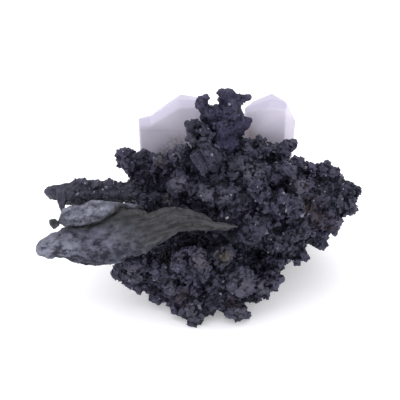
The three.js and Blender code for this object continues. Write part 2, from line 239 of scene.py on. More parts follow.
# %% Helpers for groups
GEOMETRY = "NodeSocketGeometry"
COLOUR = "NodeSocketColor"
NUMBER = "NodeSocketFloat"
SOCKET_KINDS = {tuple: COLOUR, float: NUMBER, int: "NodeSocketInt", bool: "NodeSocketBool"}


def group_with(name, kind, takes, gives):
    """A new node group, its input sockets and its output sockets.

    Each input is told by its default value, or by its kind where it has none.
    """
    group = bpy.data.node_groups.new(name, kind)
    for label, value in takes.items():
        socket_kind = SOCKET_KINDS.get(type(value), value)
        socket = group.interface.new_socket(name=label, in_out="INPUT", socket_type=socket_kind)
        if value is not socket_kind:
            socket.default_value = value
    for label, socket_kind in gives.items():
        group.interface.new_socket(name=label, in_out="OUTPUT", socket_type=socket_kind)
    return group, add(group, "NodeGroupInput").outputs, add(group, "NodeGroupOutput").inputs


def shape_group(name, takes):
    """A new Geometry Nodes group that takes a geometry, and other inputs, and gives a geometry."""
    return group_with(name, "GeometryNodeTree", {"Geometry": GEOMETRY} | takes, {"Geometry": GEOMETRY})


def finish_group(name, takes):
    """A new shader group that gives what a finish needs: a colour, a roughness and a height."""
    gives = {"Colour": COLOUR, "Roughness": NUMBER, "Height": NUMBER}
    return group_with(name, "ShaderNodeTree", takes, gives)


def handed_out(group, result, **outputs):
    """Links each output of a group to what makes it, and returns the finished group."""
    for label, socket in outputs.items():
        group.links.new(socket, result[label])
    print("node group:", group.name)
    return group


# %% Helpers inside groups
def place_in(group):
    """Where each corner is."""
    return add(group, "GeometryNodeInputPosition").outputs[0]


def normal_in(group):
    """Which way the skin faces at each corner."""
    return add(group, "GeometryNodeInputNormal").outputs[0]


# %% Helpers for shapes
def modify(piece, kind, **settings):
    """Adds a modifier with these settings and applies it."""
    only(piece)
    modifier = piece.modifiers.new("change", kind)
    for name, value in settings.items():
        setattr(modifier, name, value)
    bpy.ops.object.modifier_apply(modifier=modifier.name)


def shape_by(piece, group, **values):
    """Adds a Geometry Nodes modifier with these values, and applies it."""
    only(piece)
    modifier = piece.modifiers.new(group.name, "NODES")
    modifier.node_group = group
    for socket in group.interface.items_tree:
        label = socket.name.lower().replace(" ", "_")
        if socket.in_out == "INPUT" and label in values:
            modifier[socket.identifier] = values[label]
    bpy.ops.object.modifier_apply(modifier=modifier.name)


def pushed_out(group, geometry, height):
    """Moves a skin along its normal by a height, and lets nothing sink below the face that it rests on."""
    moved = add(group, "GeometryNodeSetPosition", {
        "Geometry": geometry, "Offset": vectors(group, "SCALE", normal_in(group), height)})
    where = parts_of(group, place_in(group))
    rested = add(group, "ShaderNodeCombineXYZ", {
        "X": where["X"], "Y": where["Y"], "Z": maths(group, "MAXIMUM", where["Z"], 0.0)})
    return add(group, "GeometryNodeSetPosition", {
        "Geometry": moved.outputs[0], "Position": rested.outputs[0]}).outputs[0]


def remembered(group, geometry, name, value):
    """Stores a value on each corner, for the finish to read."""
    feeds = {"Geometry": geometry, "Name": name, "Value": value}
    return add(group, "GeometryNodeStoreNamedAttribute", feeds, data_type="FLOAT").outputs[0]


# %% [markdown]
# ## The light tent
#
# The tent's side walls are the brightest, and the wall behind the camera is a little darker, as it is in a
# real one, where the camera looks in. So the world's strength grows with how far sideways a ray points.

# %% Light tent
TENT_COLOUR = (0.97, 0.965, 1.0, 1)
TENT_FRONT = 0.97
TENT_SIDES = 0.3  # added where a ray points straight sideways

world = bpy.data.worlds.new("light_tent")
bpy.context.scene.world = world
world.use_nodes = True
tent = world.node_tree
direction = add(tent, "ShaderNodeTexCoord").outputs["Generated"]
sideways = maths(tent, "ABSOLUTE", parts_of(tent, direction)["X"])
tent.links.new(maths(tent, "MULTIPLY_ADD", sideways, TENT_SIDES, TENT_FRONT),
               tent.nodes["Background"].inputs["Strength"])
tent.nodes["Background"].inputs["Color"].default_value = TENT_COLOUR
print("world:", world.name)

# %% [markdown]
# ## Starting a piece from its plain solid
#
# A new piece has to stay where its solid is, so it starts as a copy of the solid's mesh. The copy is loose
# triangles, so its corners are merged first. The Remesh modifier then gives it a fine, even skin, which can
# be pushed in and out. Subdividing would keep long thin triangles, so remeshing is the better start.

# %% Start a piece
MERGE = 0.01 * MM


def edit_whole(piece, operator, **settings):
    """Runs one of edit mode's operators on the whole mesh of a piece."""
    only(piece)
    bpy.ops.object.mode_set(mode="EDIT")
    bpy.ops.mesh.select_all(action="SELECT")
    operator(**settings)
    bpy.ops.object.mode_set(mode="OBJECT")


def twin(piece, name):
    """A second object with its own copy of the mesh."""
    made = bpy.data.objects.new(name, piece.data.copy())
    made.data.name = name
    bpy.context.scene.collection.objects.link(made)
    return made


def copy_of(node, name):
    """A copy of a solid's mesh with its corners merged."""
    piece = twin(frame["nodes"][node], name)
    piece.data.materials.clear()
    edit_whole(piece, bpy.ops.mesh.remove_doubles, threshold=MERGE)
    return piece


# %% Change a skin
def fine_skin(piece, square):
    """Gives the piece one even skin of small squares, which also fuses what overlaps."""
    modify(piece, "REMESH", mode="VOXEL", voxel_size=square)


def swell(piece, by):
    """Moves the whole skin out along its normals, or in when the distance is negative."""
    modify(piece, "DISPLACE", mid_level=0.0, strength=by)


def largest_part(piece):
    """Drops the crumbs that a remesh leaves hanging in the air, and returns the piece without them."""
    name = piece.name
    edit_whole(piece, bpy.ops.mesh.separate, type="LOOSE")
    parts = sorted(bpy.context.selected_objects, key=lambda part: len(part.data.vertices))
    for crumb in parts[:-1]:
        bpy.data.objects.remove(crumb)
    parts[-1].name = name
    parts[-1].data.name = name
    print(name + ":", len(parts) - 1, "crumbs dropped")
    return parts[-1]


def join_to(piece):
    """Joins the object that was just made to a piece."""
    piece.select_set(True)
    bpy.context.view_layer.objects.active = piece
    bpy.ops.object.join()


def triangles(piece):
    piece.data.calc_loop_triangles()
    return len(piece.data.loop_triangles)


# %% [markdown]
# ## Finding a place as the camera sees it
#
# Some forms are told by where they show, such as the round nuggets in the specimen's foot. Their depth comes
# from the solid that carries them: a ray goes out from the camera through a point of the picture, and the
# form sits where the ray meets the solid. Typing in all three coordinates would work too, but a form could
# then float off its carrier.

# %% Find a place
PICTURE = 400  # the picture is a square of this many pixels


def seen_at(piece, across, down):
    """Where a piece shows at a pixel of the picture, counted from its top left corner."""
    bpy.context.view_layer.update()
    frame_share = SENSOR_MM / LENS_MM / PICTURE
    ray = Vector(((across - PICTURE / 2) * frame_share, (PICTURE / 2 - down) * frame_share, -1))
    met, place, _, _ = piece.ray_cast(camera.location, camera.matrix_world.to_quaternion() @ ray)
    if not met:
        raise ValueError(f"{piece.name} doesn't show at {across}, {down}")
    return place


def rolled(degrees):
    """The turn that faces the camera, rolled by some degrees in the plane of the picture."""
    return camera.rotation_euler.to_matrix() @ Matrix.Rotation(math.radians(degrees), 3, "Z")


plain_mass = frame["nodes"]["silver_mass"]
print("ray meets the mass at", [round(c / MM, 1) for c in seen_at(plain_mass, 250, 200)])

# %% [markdown]
# ## Small crystals
#
# Native silver crystallises in cubes and octahedra, mostly grown lopsided. A few shapes are enough, because
# each copy is turned and scaled by chance. Each starts as a primitive and is reshaped in edit mode: a cube
# with its corners cut off, a rough grain, a flattened tooth and a plate. They are about a metre and a half
# wide, because only the copies are scaled down.

# %% Model the small crystals
nothing_selected()
crystals = bpy.data.collections.new("small_crystals")
bpy.context.scene.collection.children.link(crystals)


def crystal_from(name, operator, **settings):
    """Shapes the active object with one operator, names it and puts it among the small crystals."""
    crystal = bpy.context.object
    edit_whole(crystal, operator, **settings)
    bpy.ops.object.transform_apply(location=True, rotation=True, scale=True)
    crystal.name = name
    for holder in crystal.users_collection:
        holder.objects.unlink(crystal)
    crystals.objects.link(crystal)


bpy.ops.mesh.primitive_cube_add(size=1.5)
crystal_from("cut_cube", bpy.ops.mesh.bevel, offset=0.36, offset_type="OFFSET", segments=1,
             affect="VERTICES")
bpy.ops.mesh.primitive_ico_sphere_add(subdivisions=1, radius=0.9)
crystal_from("rough_grain", bpy.ops.transform.resize, value=(1.0, 0.85, 1.12))
bpy.ops.mesh.primitive_cone_add(vertices=4, radius1=0.8, radius2=0.25, depth=1.6)
crystal_from("tooth", bpy.ops.transform.resize, value=(1.0, 0.7, 1.0))
bpy.ops.mesh.primitive_cube_add(size=1.3)
crystal_from("plate", bpy.ops.transform.resize, value=(1.2, 0.55, 1.0))

# %% [markdown]
# ## Sprouting crystals
#
# A group of nodes strews the small crystals over a skin: points spread over the faces, a copy of a crystal
# at each point, turned and scaled by chance, and everything made real at the end, so that each crystal is
# mesh. Particles would do the same, but they would be lost when the model is exported. Points on the flat
# underside are left out, because the specimen rests there.

# %% Node group that sprouts crystals
BARE_EDGE = (0.4, 0.6)  # the noise from which a patch is bare, and from which it is full
LOPSIDED = (0.65, 1.35)  # a crystal's least and greatest stretch along each of its sides
TONE_SEED = 7


def how_many(group, given):
    """Crystals per square metre: fewer in bare patches, none low down or left of a place along X."""
    place = place_in(group)
    patch = ramp(group, noise(group, place, given["Patch Size"], 1.0), *BARE_EDGE)
    bare = product(group, given["Patchiness"], maths(group, "SUBTRACT", 1.0, patch))
    where = parts_of(group, place)
    return product(group, given["Per Square Metre"], maths(group, "SUBTRACT", 1.0, bare),
                   maths(group, "GREATER_THAN", where["Z"], given["Lowest"]),
                   maths(group, "GREATER_THAN", where["X"], given["From X"]))


def chance_vector(group, low, high, seed):
    """A vector whose three parts each lie by chance between two numbers."""
    feeds = {"Min": (low,) * 3, "Max": (high,) * 3, "Seed": seed}
    return add(group, "FunctionNodeRandomValue", feeds, data_type="FLOAT_VECTOR").outputs["Value"]


def sprout_group():
    group, given, result = shape_group("sprout_crystals", {
        "Crystals": "NodeSocketCollection",
        "Per Square Metre": 100000.0,
        "Smallest": 0.3 * MM,
        "Largest": 0.8 * MM,
        "Patchiness": 0.5,
        "Patch Size": 6 * MM,
        "Lowest": 0.6 * MM,
        "From X": -1.0,
        "Lightest Tone": 1.0,
        "Seed": 1,
        "Keep Skin": False,
    })
    spread = add(group, "GeometryNodeDistributePointsOnFaces", {
        "Mesh": given["Geometry"], "Density": how_many(group, given), "Seed": given["Seed"]})
    chance = add(group, "FunctionNodeRandomValue", {"Seed": given["Seed"]}, data_type="FLOAT")
    mostly_small = maths(group, "POWER", chance.outputs["Value"], 2.0)
    span = maths(group, "SUBTRACT", given["Largest"], given["Smallest"])
    size = maths(group, "MULTIPLY_ADD", mostly_small, span, given["Smallest"])
    size = vectors(group, "SCALE", chance_vector(group, *LOPSIDED, given["Seed"]), size)
    listed = add(group, "GeometryNodeCollectionInfo", {
        "Collection": given["Crystals"], "Separate Children": True, "Reset Children": True})
    copies = add(group, "GeometryNodeInstanceOnPoints", {
        "Points": spread.outputs["Points"], "Instance": listed.outputs[0], "Pick Instance": True,
        "Rotation": chance_vector(group, 0, math.tau, given["Seed"]), "Scale": size})
    tone = add(group, "FunctionNodeRandomValue", {"Seed": TONE_SEED}, data_type="FLOAT").outputs["Value"]
    tone = product(group, tone, given["Lightest Tone"])
    toned = add(group, "GeometryNodeStoreNamedAttribute", {
        "Geometry": copies.outputs[0], "Name": "tone", "Value": tone}, data_type="FLOAT", domain="INSTANCE")
    real = add(group, "GeometryNodeRealizeInstances", {0: toned.outputs[0]})
    kept = add(group, "GeometryNodeSwitch", {
        "Switch": given["Keep Skin"], "True": given["Geometry"]}, input_type="GEOMETRY")
    whole = add(group, "GeometryNodeJoinGeometry", {0: real.outputs[0]})
    group.links.new(kept.outputs[0], whole.inputs[0])
    return handed_out(group, result, Geometry=whole.outputs[0])


sprout = sprout_group()


def strew(piece, per_square_metre, smallest, largest, seed, **values):
    """Strews small crystals over a piece. A metre of theirs becomes between two lengths in millimetres."""
    shape_by(piece, sprout, crystals=crystals, per_square_metre=per_square_metre, smallest=smallest * MM,
             largest=largest * MM, seed=seed, **values)


# %% [markdown]
# ## Hackly relief
#
# A tarnished silver surface is a jumble of broken facets. The relief pushes the skin in and out along its
# normal: Voronoi cells, each a little plane tilted its own way, make the facets, and larger smooth cells
# make the lumps that they sit on. Noise would look like wet clay, because it has no planes.
#
# The tarnish has to know what is crest and what is hollow. So each corner is compared with the middle of
# its surroundings, which the Blur node gives: a corner that stands proud of them is on a crest.

# %% Node group for the relief
MIDDLE = (0.5, 0.5, 0.5)  # taken off a chance colour, it leaves a chance direction
FACET_STEP = 0.6  # how much higher or lower than the next a facet stands, apart from its tilt
WANDER_SCALE = 400.0  # per metre, of the noise that bends the facets' edges
WANDER = 1 * MM  # times a chance direction, which moves an edge by about a quarter of this
LUMP_MIDDLE = 0.45  # how far out on a lump the skin stays where it was, as a share of the lump's size
MASS_CREST = ((3, 0.35 * MM), (24, 1.6 * MM))  # a close look, then a wide one


def facet_height(group, place, size):
    """Height of tilted planes, one for each cell of this size, about -0.5 to 0.5."""
    scale = per_metre(group, size)
    cells = add(group, "ShaderNodeTexVoronoi", {"Vector": place, "Scale": scale, "Randomness": 1.0})
    tilt = vectors(group, "SUBTRACT", cells.outputs["Color"], MIDDLE)
    from_middle = vectors(group, "SUBTRACT", place, cells.outputs["Position"])
    slope = vectors(group, "DOT_PRODUCT", vectors(group, "SCALE", from_middle, scale), tilt, output="Value")
    return maths(group, "MULTIPLY_ADD", parts_of(group, tilt)["X"], FACET_STEP, slope)


def proud_by(group, steps):
    """How far a corner stands out of the middle of its surroundings, in metres."""
    place = place_in(group)
    middle = add(group, "GeometryNodeBlurAttribute", {"Value": place, "Iterations": steps},
                 data_type="FLOAT_VECTOR").outputs[0]
    out = vectors(group, "SUBTRACT", place, middle)
    return vectors(group, "DOT_PRODUCT", out, normal_in(group), output="Value")


def with_crest(group, geometry, looks):
    """Stores how proud each corner stands, 0.5 where level.

    Each look is its steps of blur and the height that counts as 1.
    """
    shares = [maths(group, "DIVIDE", proud_by(group, steps), height) for steps, height in looks]
    return remembered(group, geometry, "crest", total(group, *shares, 0.5))


def relief_group():
    group, given, result = shape_group("hackly_relief", {
        "Lump Size": 3 * MM,
        "Lump Height": 0.6 * MM,
        "Facet Size": 1.2 * MM,
        "Facet Height": 0.6 * MM,
    })
    place = place_in(group)
    wander = add(group, "ShaderNodeTexNoise", {"Vector": place, "Scale": WANDER_SCALE, "Detail": 2.0})
    wander = vectors(group, "SUBTRACT", wander.outputs["Color"], MIDDLE)
    warped = vectors(group, "ADD", place, vectors(group, "SCALE", wander, WANDER))
    lumps = add(group, "ShaderNodeTexVoronoi", {
        "Vector": warped, "Scale": per_metre(group, given["Lump Size"])}, feature="SMOOTH_F1")
    lump = maths(group, "SUBTRACT", LUMP_MIDDLE, lumps.outputs["Distance"])
    facet = facet_height(group, warped, given["Facet Size"])
    height = product(group, lump, given["Lump Height"])
    height = maths(group, "MULTIPLY_ADD", facet, given["Facet Height"], height)
    moved = pushed_out(group, given["Geometry"], height)
    return handed_out(group, result, Geometry=with_crest(group, moved, MASS_CREST))


relief = relief_group()

# %% [markdown]
# ## Tarnish
#
# Silver blackens as sulphur in the air settles on it. The tarnish isn't one colour: it is blue-black in the
# hollows, a lighter violet grey on the crests, where it is thin, and in places brown or dull gold. Now and
# then a facet is still bright. Several pieces carry it, so it is one shader node group, and each material
# gives it its own colours. The group reads what the shapes stored: how proud a spot stands, a chance tone
# for each small crystal, where the stains are, and where shade is painted in the hollow colour.

# %% Node group for tarnish
def stored(tree, name):
    """A value that the shape stored on its corners."""
    return add(tree, "ShaderNodeAttribute", attribute_name=name).outputs["Fac"]


BROAD_SIZE = 7 * MM
BLOTCH_SIZE = 1.5 * MM
FINE_SIZE = 0.6 * MM
NOISE_SPAN = (0.3, 0.7)  # nearly all of a noise lies between these
PATCH_EDGE = (0.45, 0.62)  # the noise from which a patch begins, and from which it is full
BLOTCH_EDGE = (0.42, 0.58)
TONE_LIFT = 0.35  # how much a crystal's chance tone lifts it from dark to light
FINE_LIFT = 0.9
CREST_RANGE = (0.25, 1.15)  # the lift of a full hollow and of a full crest
PALE_RANGE = (0.3, 1.0)  # the lift from which the pale spots show, and from which they are full
GOLD_RANGE = (0.4, 1.0)
PATCH_SHARE = 0.5
# A stain's share, also used for painted shade.
STAIN_AND_SHADE_SHARE = 0.8
TARNISH_ROUGH = (0.42, 0.6)
SHINE_ROUGH = -0.15  # added where a facet is still bright
BRIGHT = (0.24, 0.24, 0.26, 1)
BRIGHT_FROM = 0.993  # the chance tone from which a small crystal is still bright


def tarnish_group():
    group, given, result = finish_group("tarnish", {
        "Hollow": (0.008, 0.007, 0.018, 1),
        "Crest": (0.059, 0.056, 0.092, 1),
        "Patch": (0.026, 0.03, 0.044, 1),
        "Pale": (0.11, 0.105, 0.135, 1),
        "Speck": (0.2, 0.2, 0.26, 1),
        "Brown": (0.055, 0.03, 0.024, 1),
        "Gold": (0.105, 0.088, 0.062, 1),
        "Speck From": 0.9,
    })
    place = add(group, "ShaderNodeTexCoord").outputs["Object"]
    broad = noise(group, place, BROAD_SIZE, 3.0)
    fine = noise(group, place, FINE_SIZE, 3.0)
    tone = stored(group, "tone")
    lift = total(group, stored(group, "crest"), product(group, tone, TONE_LIFT),
                 centred(group, fine, FINE_LIFT))
    colour = mixed(group, ramp(group, lift, *CREST_RANGE), given["Hollow"], given["Crest"])
    colour = mixed(group, ramp(group, broad, *PATCH_EDGE, 0.0, PATCH_SHARE), colour, given["Patch"])
    blotch = ramp(group, noise(group, place, BLOTCH_SIZE, 4.0), *BLOTCH_EDGE)
    shine = maths(group, "GREATER_THAN", tone, BRIGHT_FROM)
    for share, over in (
            (product(group, stored(group, "pale"), ramp(group, lift, *PALE_RANGE)), given["Pale"]),
            (product(group, stored(group, "brown"), blotch, STAIN_AND_SHADE_SHARE), given["Brown"]),
            (product(group, stored(group, "gold"), ramp(group, lift, *GOLD_RANGE)), given["Gold"]),
            (maths(group, "GREATER_THAN", tone, given["Speck From"]), given["Speck"]),
            # Painted shade, laid on in the hollow colour.
            (product(group, stored(group, "soot"), STAIN_AND_SHADE_SHARE), given["Hollow"]),
            (shine, BRIGHT)):
        colour = mixed(group, share, colour, over)
    rough = maths(group, "MULTIPLY_ADD", shine, SHINE_ROUGH, ramp(group, fine, *NOISE_SPAN, *TARNISH_ROUGH))
    return handed_out(group, result, Colour=colour, Roughness=rough, Height=fine)


tarnish = tarnish_group()

# %% [markdown]
# ## Materials that carry a finish
#
# A finish group hands out a colour, a roughness and a height. The material leads them to its shader, the
# height through a fine bump. The bump only roughens what the mesh has already shaped.

# %% Materials that carry a finish
def finished(name, finish, metallic, depth, **values):
    """A material that carries one of the finish groups, with a bump of this depth."""
    made, tree, shader = material(name, Metallic=metallic)
    given = add(tree, "ShaderNodeGroup", node_tree=finish)
    set_inputs(given, **values)
    bump = add(tree, "ShaderNodeBump", {
        "Strength": 0.5, "Distance": depth, "Height": given.outputs["Height"]})
    tree.links.new(given.outputs["Colour"], shader.inputs["Base Color"])
    tree.links.new(given.outputs["Roughness"], shader.inputs["Roughness"])
    tree.links.new(bump.outputs[0], shader.inputs["Normal"])
    return made


# %% [markdown]
# ## Dressing a piece
#
# Every piece gets one material, rides on the only body that the specimen has, and stands for its solid.

# %% Dress a piece
def dress(piece, finish, node=None):
    """Gives a finished piece its material, its body and the solid that it stands for."""
    piece.data.materials.clear()
    piece.data.materials.append(finish)
    for face in piece.data.polygons:
        face.material_index = 0
    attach(piece, "root")
    if node:
        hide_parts(node)
    print(piece.name + ":", triangles(piece), "triangles")


# %% [markdown]
# ## Where the stains and the painted shade are
#
# Stains and painted shade aren't strewn by chance: brown and gold show in a few spots, and shade is painted
# where one piece shades another. Each corner gets a value for how near it is to such a spot or piece, and the
# finish reads it. Painting the values by hand would do too, but it couldn't be written down as readably.

# %% Stains and painted shade
def corners_of(piece):
    """The places of a piece's corners, one row each."""
    places = numpy.empty(len(piece.data.vertices) * 3)
    piece.data.vertices.foreach_get("co", places)
    return places.reshape(-1, 3)


def store(piece, name, values):
    """Stores one value, or a row of three, on each corner of a piece, for the finish to read."""
    kind, field = ("FLOAT", "value") if values.ndim == 1 else ("FLOAT_VECTOR", "vector")
    piece.data.attributes.new(name, kind, "POINT").data.foreach_set(field, values.ravel())


def near_spots(piece, spots):
    """How near each corner is to a spot that shows at a pixel: 1 in its middle, 0 at its radius in mm."""
    places = corners_of(piece)
    nearness = numpy.zeros(len(places))
    for across, down, radius in spots:
        away = numpy.linalg.norm(places - numpy.array(seen_at(piece, across, down)), axis=1)
        nearness = numpy.maximum(nearness, 1 - away / (radius * MM))
    return nearness


FULL_NEAR = 1.4  # over 1, so that the painted shade is full before the pieces touch


def near_piece(piece, other, reach):
    """How near each corner is to another piece: 1 where they touch and 0 at this reach."""
    bpy.context.view_layer.update()
    away = [(other.closest_point_on_mesh(place)[1] - Vector(place)).length for place in corners_of(piece)]
    return numpy.clip(FULL_NEAR * (1 - numpy.array(away) / reach), 0, 1)


# %% [markdown]
# ## The silver mass: filled gaps
#
# The mass is one jumble of crystals that grew into each other, and smaller ones have filled the gaps between
# the larger. So the narrow gaps between the solid's lumps are closed: the skin swells until facing sides
# meet, a remesh fuses them, and the skin shrinks back. Smoothing would close the gaps too, but it would
# round off the tips.

# %% Fill the narrow gaps
HALF_GAP = 0.8 * MM
MASS_SQUARE = 0.5 * MM


def fill_gaps(piece, square, shrink):
    """Closes the narrow gaps of a piece, and shrinks it back by this distance."""
    fine_skin(piece, square)
    swell(piece, HALF_GAP)
    fine_skin(piece, square)
    swell(piece, -shrink)


mass = copy_of("silver_mass", "silver_mass_skin")
fill_gaps(mass, MASS_SQUARE, HALF_GAP)
fine_skin(mass, MASS_SQUARE)
print("mass with its gaps filled:", triangles(mass), "triangles")

# %% [markdown]
# ## The silver mass: hollows and nuggets
#
# A few forms stand out in the jumble: dark hollows that go deep between the lumps, and round nuggets, mostly
# in the foot. The hollows are cut with the Boolean modifier. Its Manifold solver is quick enough for a fine
# mesh, and the remeshed skin is closed, as that solver needs. The nuggets are squashed balls, joined to the
# mass, and a later remesh fuses them with it.

# %% Cut the hollows
# Where each hollow shows in the picture, and its half width, half height and depth in millimetres.
HOLLOWS = [
    (166, 190, 3.0, 1.6, 1.8), (237, 186, 1.1, 2.6, 1.6), (236, 155, 1.1, 1.5, 1.6),
    (210, 279, 1.2, 2.2, 1.8), (190, 283, 1.6, 1.3, 1.5), (268, 229, 1.6, 0.8, 1.5),
    (312, 226, 1.4, 1.8, 1.5), (213, 262, 0.9, 2.4, 1.5), (250, 251, 2.4, 0.9, 1.5),
    (179, 149, 2.6, 2.4, 5.0),
]


def ball_at(place, half_sizes, subdivisions=3):
    """Adds a squashed ball that faces the camera. Its three half sizes are in millimetres."""
    bpy.ops.mesh.primitive_ico_sphere_add(subdivisions=subdivisions, location=place,
                                          rotation=camera.rotation_euler)
    bpy.context.object.scale = tuple(half * MM for half in half_sizes)
    return bpy.context.object


nothing_selected()
cutters = []
for across, down, wide, high, deep in HOLLOWS:
    cutters.append(ball_at(seen_at(plain_mass, across, down), (wide, high, deep), 2))
for cutter in cutters:
    cutter.select_set(True)
bpy.ops.object.join()
cutter = bpy.context.object
modify(mass, "BOOLEAN", object=cutter, operation="DIFFERENCE", solver="MANIFOLD")
bpy.data.objects.remove(cutter)
print("mass with", len(HOLLOWS), "hollows:", triangles(mass), "triangles")

# %% Join the nuggets
# Where each nugget shows in the picture, and its half width and half height in millimetres.
NUGGETS = [
    (183, 259, 2.0, 2.4), (200, 260, 2.5, 2.8), (222, 257, 2.2, 2.9), (240, 283, 2.9, 3.6),
    (231, 290, 2.0, 2.4), (171, 286, 2.7, 1.8), (262, 286, 2.4, 2.8), (186, 275, 1.5, 1.7),
    (198, 297, 1.8, 2.6), (214, 297, 2.2, 2.0), (135, 274, 3.0, 2.8), (160, 270, 2.2, 2.0),
    (250, 171, 3.4, 1.8), (262, 200, 1.9, 2.2), (196, 165, 2.0, 1.6), (180, 158, 2.2, 2.6),
    (207, 193, 2.2, 2.2), (180, 184, 2.4, 1.8), (222, 196, 1.4, 2.6), (270, 218, 2.8, 2.4),
    (300, 190, 2.6, 2.2), (290, 207, 2.4, 2.6), (316, 206, 2.6, 1.8), (250, 235, 2.6, 2.2),
    (286, 240, 2.4, 2.2), (193, 129, 1.8, 1.6), (200, 128, 1.6, 1.7), (193, 138, 2.0, 0.8),
    (271, 184, 2.6, 2.6), (283, 182, 2.6, 2.6), (277, 177, 2.4, 2.0), (258, 268, 2.4, 2.2),
    (268, 264, 2.4, 2.2), (195, 314, 2.3, 3.2), (237, 311, 2.2, 2.2), (347, 190, 2.4, 2.6),
    (186, 303, 1.8, 2.2), (131, 262, 2.3, 2.2), (240, 143, 1.4, 1.4),
]
SUNK = 0.6  # how deep a nugget's middle lies under the surface, as a share of its radius

ground = twin(mass, "ground")
for across, down, wide, high in NUGGETS:
    thick = min(wide, high)
    ball_at(seen_at(ground, across, down) - towards_camera * thick * SUNK * MM, (wide, high, thick))
    join_to(mass)
print("mass with", len(NUGGETS), "nuggets:", triangles(mass), "triangles")

# %% [markdown]
# ## The silver mass: fins and prickles
#
# Thin tapering crystals stick out along the shoulders, and one dark pocket bristles with prickles. Each
# is a small cone with five sides, turned in the plane that faces the camera and joined to the mass.

# %% Join the fins and the prickles
# Where the foot of each fin shows, then its radius and height in millimetres and its lean in degrees.
FINS = [(262, 148, 1.4, 3.9, 18), (284, 152, 1.6, 4.0, -20), (314, 170, 1.1, 5.2, -62),
        (347, 190, 1.5, 4.6, -75), (126, 160, 1.2, 3.0, 20)]
PRICKLES = 16
PRICKLES_AT = (162, 168)
PRICKLES_SPREAD = 7  # pixels
PRICKLE_RADIUS = 0.45  # millimetres, as the heights
PRICKLE_HEIGHTS = (2.0, 3.4)
PRICKLE_LEANS = (-60, 60)  # degrees
THINNER = 3  # a spike's foot is this many times wider than its tip
OUT_OF = 3  # a spike's middle stands out by its height divided by this

prickle_chance = random.Random(9)
spikes = list(FINS)
for _ in range(PRICKLES):
    across, down = (middle + prickle_chance.uniform(-1, 1) * PRICKLES_SPREAD for middle in PRICKLES_AT)
    height, lean = prickle_chance.uniform(*PRICKLE_HEIGHTS), prickle_chance.uniform(*PRICKLE_LEANS)
    spikes.append((across, down, PRICKLE_RADIUS, height, lean))

for across, down, radius, height, lean in spikes:
    nothing_selected()
    bpy.ops.mesh.primitive_cone_add(vertices=5, radius1=radius * MM, radius2=radius * MM / THINNER,
                                    depth=height * MM)
    spike = bpy.context.object
    upright = rolled(lean)
    spike.rotation_euler = (upright @ Matrix.Rotation(-math.pi / 2, 3, "X")).to_euler()
    spike.location = seen_at(ground, across, down) + upright @ Vector((0, height * MM / OUT_OF, 0))
    join_to(mass)
bpy.data.objects.remove(ground)
print("mass with", len(spikes), "spikes:", triangles(mass), "triangles")

# %% [markdown]
# ## The silver mass: its skin
#
# Medium crystals are strewn over the mass and fused with it into one skin, which gives lumps with flat faces
# and deep gaps. A remesh can leave crumbs that hang in the air, so only the largest part is kept. The relief
# then breaks the skin into facets twice, first coarsely and then finely. One fine relief alone would look
# like sandpaper, because the lumps under it would stay smooth.

# %% The skin of the mass
strew(mass, 70000.0, smallest=0.5, largest=1.4, seed=3, keep_skin=True, patchiness=0.2, lowest=1.5 * MM)
fine_skin(mass, square=0.42 * MM)
mass = largest_part(mass)
swell(mass, by=0.15 * MM)
shape_by(mass, relief, lump_size=4 * MM, lump_height=1.8 * MM, facet_size=2.3 * MM,
         facet_height=1.5 * MM)
shape_by(mass, relief, lump_height=0.0, facet_size=0.9 * MM, facet_height=0.4 * MM)
print("skin of the mass:", triangles(mass), "triangles")

# %% [markdown]
# ## The silver mass: stains and painted shade
#
# The stains and the painted shade are stored on the skin before the crystals sprout, so that each crystal
# takes the stain and the shade of the spot that it grows on.

# %% Stains and painted shade on the mass
# Where each stain, patch of painted shade or pale spot shows in the picture, and its radius in millimetres.
BROWN_STAINS = [(308, 208, 4.5), (330, 226, 2.5), (166, 262, 3.0), (185, 300, 3.5), (202, 261, 3.0),
                (232, 303, 2.5), (318, 218, 3.5), (300, 180, 3.0)]
GOLD_STAINS = [(160, 163, 1.6), (168, 198, 1.8), (222, 257, 2.8), (241, 194, 1.5)]
MASS_SHADE_SPOTS = [(158, 188, 11.0), (148, 176, 6.0), (196, 126, 3.5), (214, 170, 5.0), (279, 184, 3.0)]
PALE_SPOTS = [(178, 155, 2.4), (250, 171, 3.6), (184, 259, 2.8), (200, 261, 3.4), (241, 284, 4.0),
              (178, 184, 3.0), (206, 195, 2.8), (193, 138, 2.0), (262, 287, 3.0), (172, 287, 2.8),
              (238, 309, 2.6), (195, 310, 3.2), (223, 196, 2.0), (135, 273, 3.4), (300, 190, 3.4)]
BLADE_SHADOW = 4 * MM  # how far from the large blade the mass gets painted shadow

store(mass, "brown", near_spots(mass, BROWN_STAINS))
store(mass, "pale", near_spots(mass, PALE_SPOTS))
store(mass, "gold", near_spots(mass, GOLD_STAINS))
# Painted shadow under the large blade, and painted shade in the darkest hollows.
under_blade = near_piece(mass, frame["nodes"]["silver_blade_large"], BLADE_SHADOW)
store(mass, "soot", numpy.maximum(under_blade, near_spots(mass, MASS_SHADE_SPOTS)))

# %% [markdown]
# ## The silver mass: crystals on the skin
#
# Two finer strewings of crystals stay separate mesh on top, because fusing them would need a far finer skin:
# chips of mostly under a millimetre, and crystals of mostly under half a millimetre. Chance alone would strew
# evenly, so patches are left nearly bare.

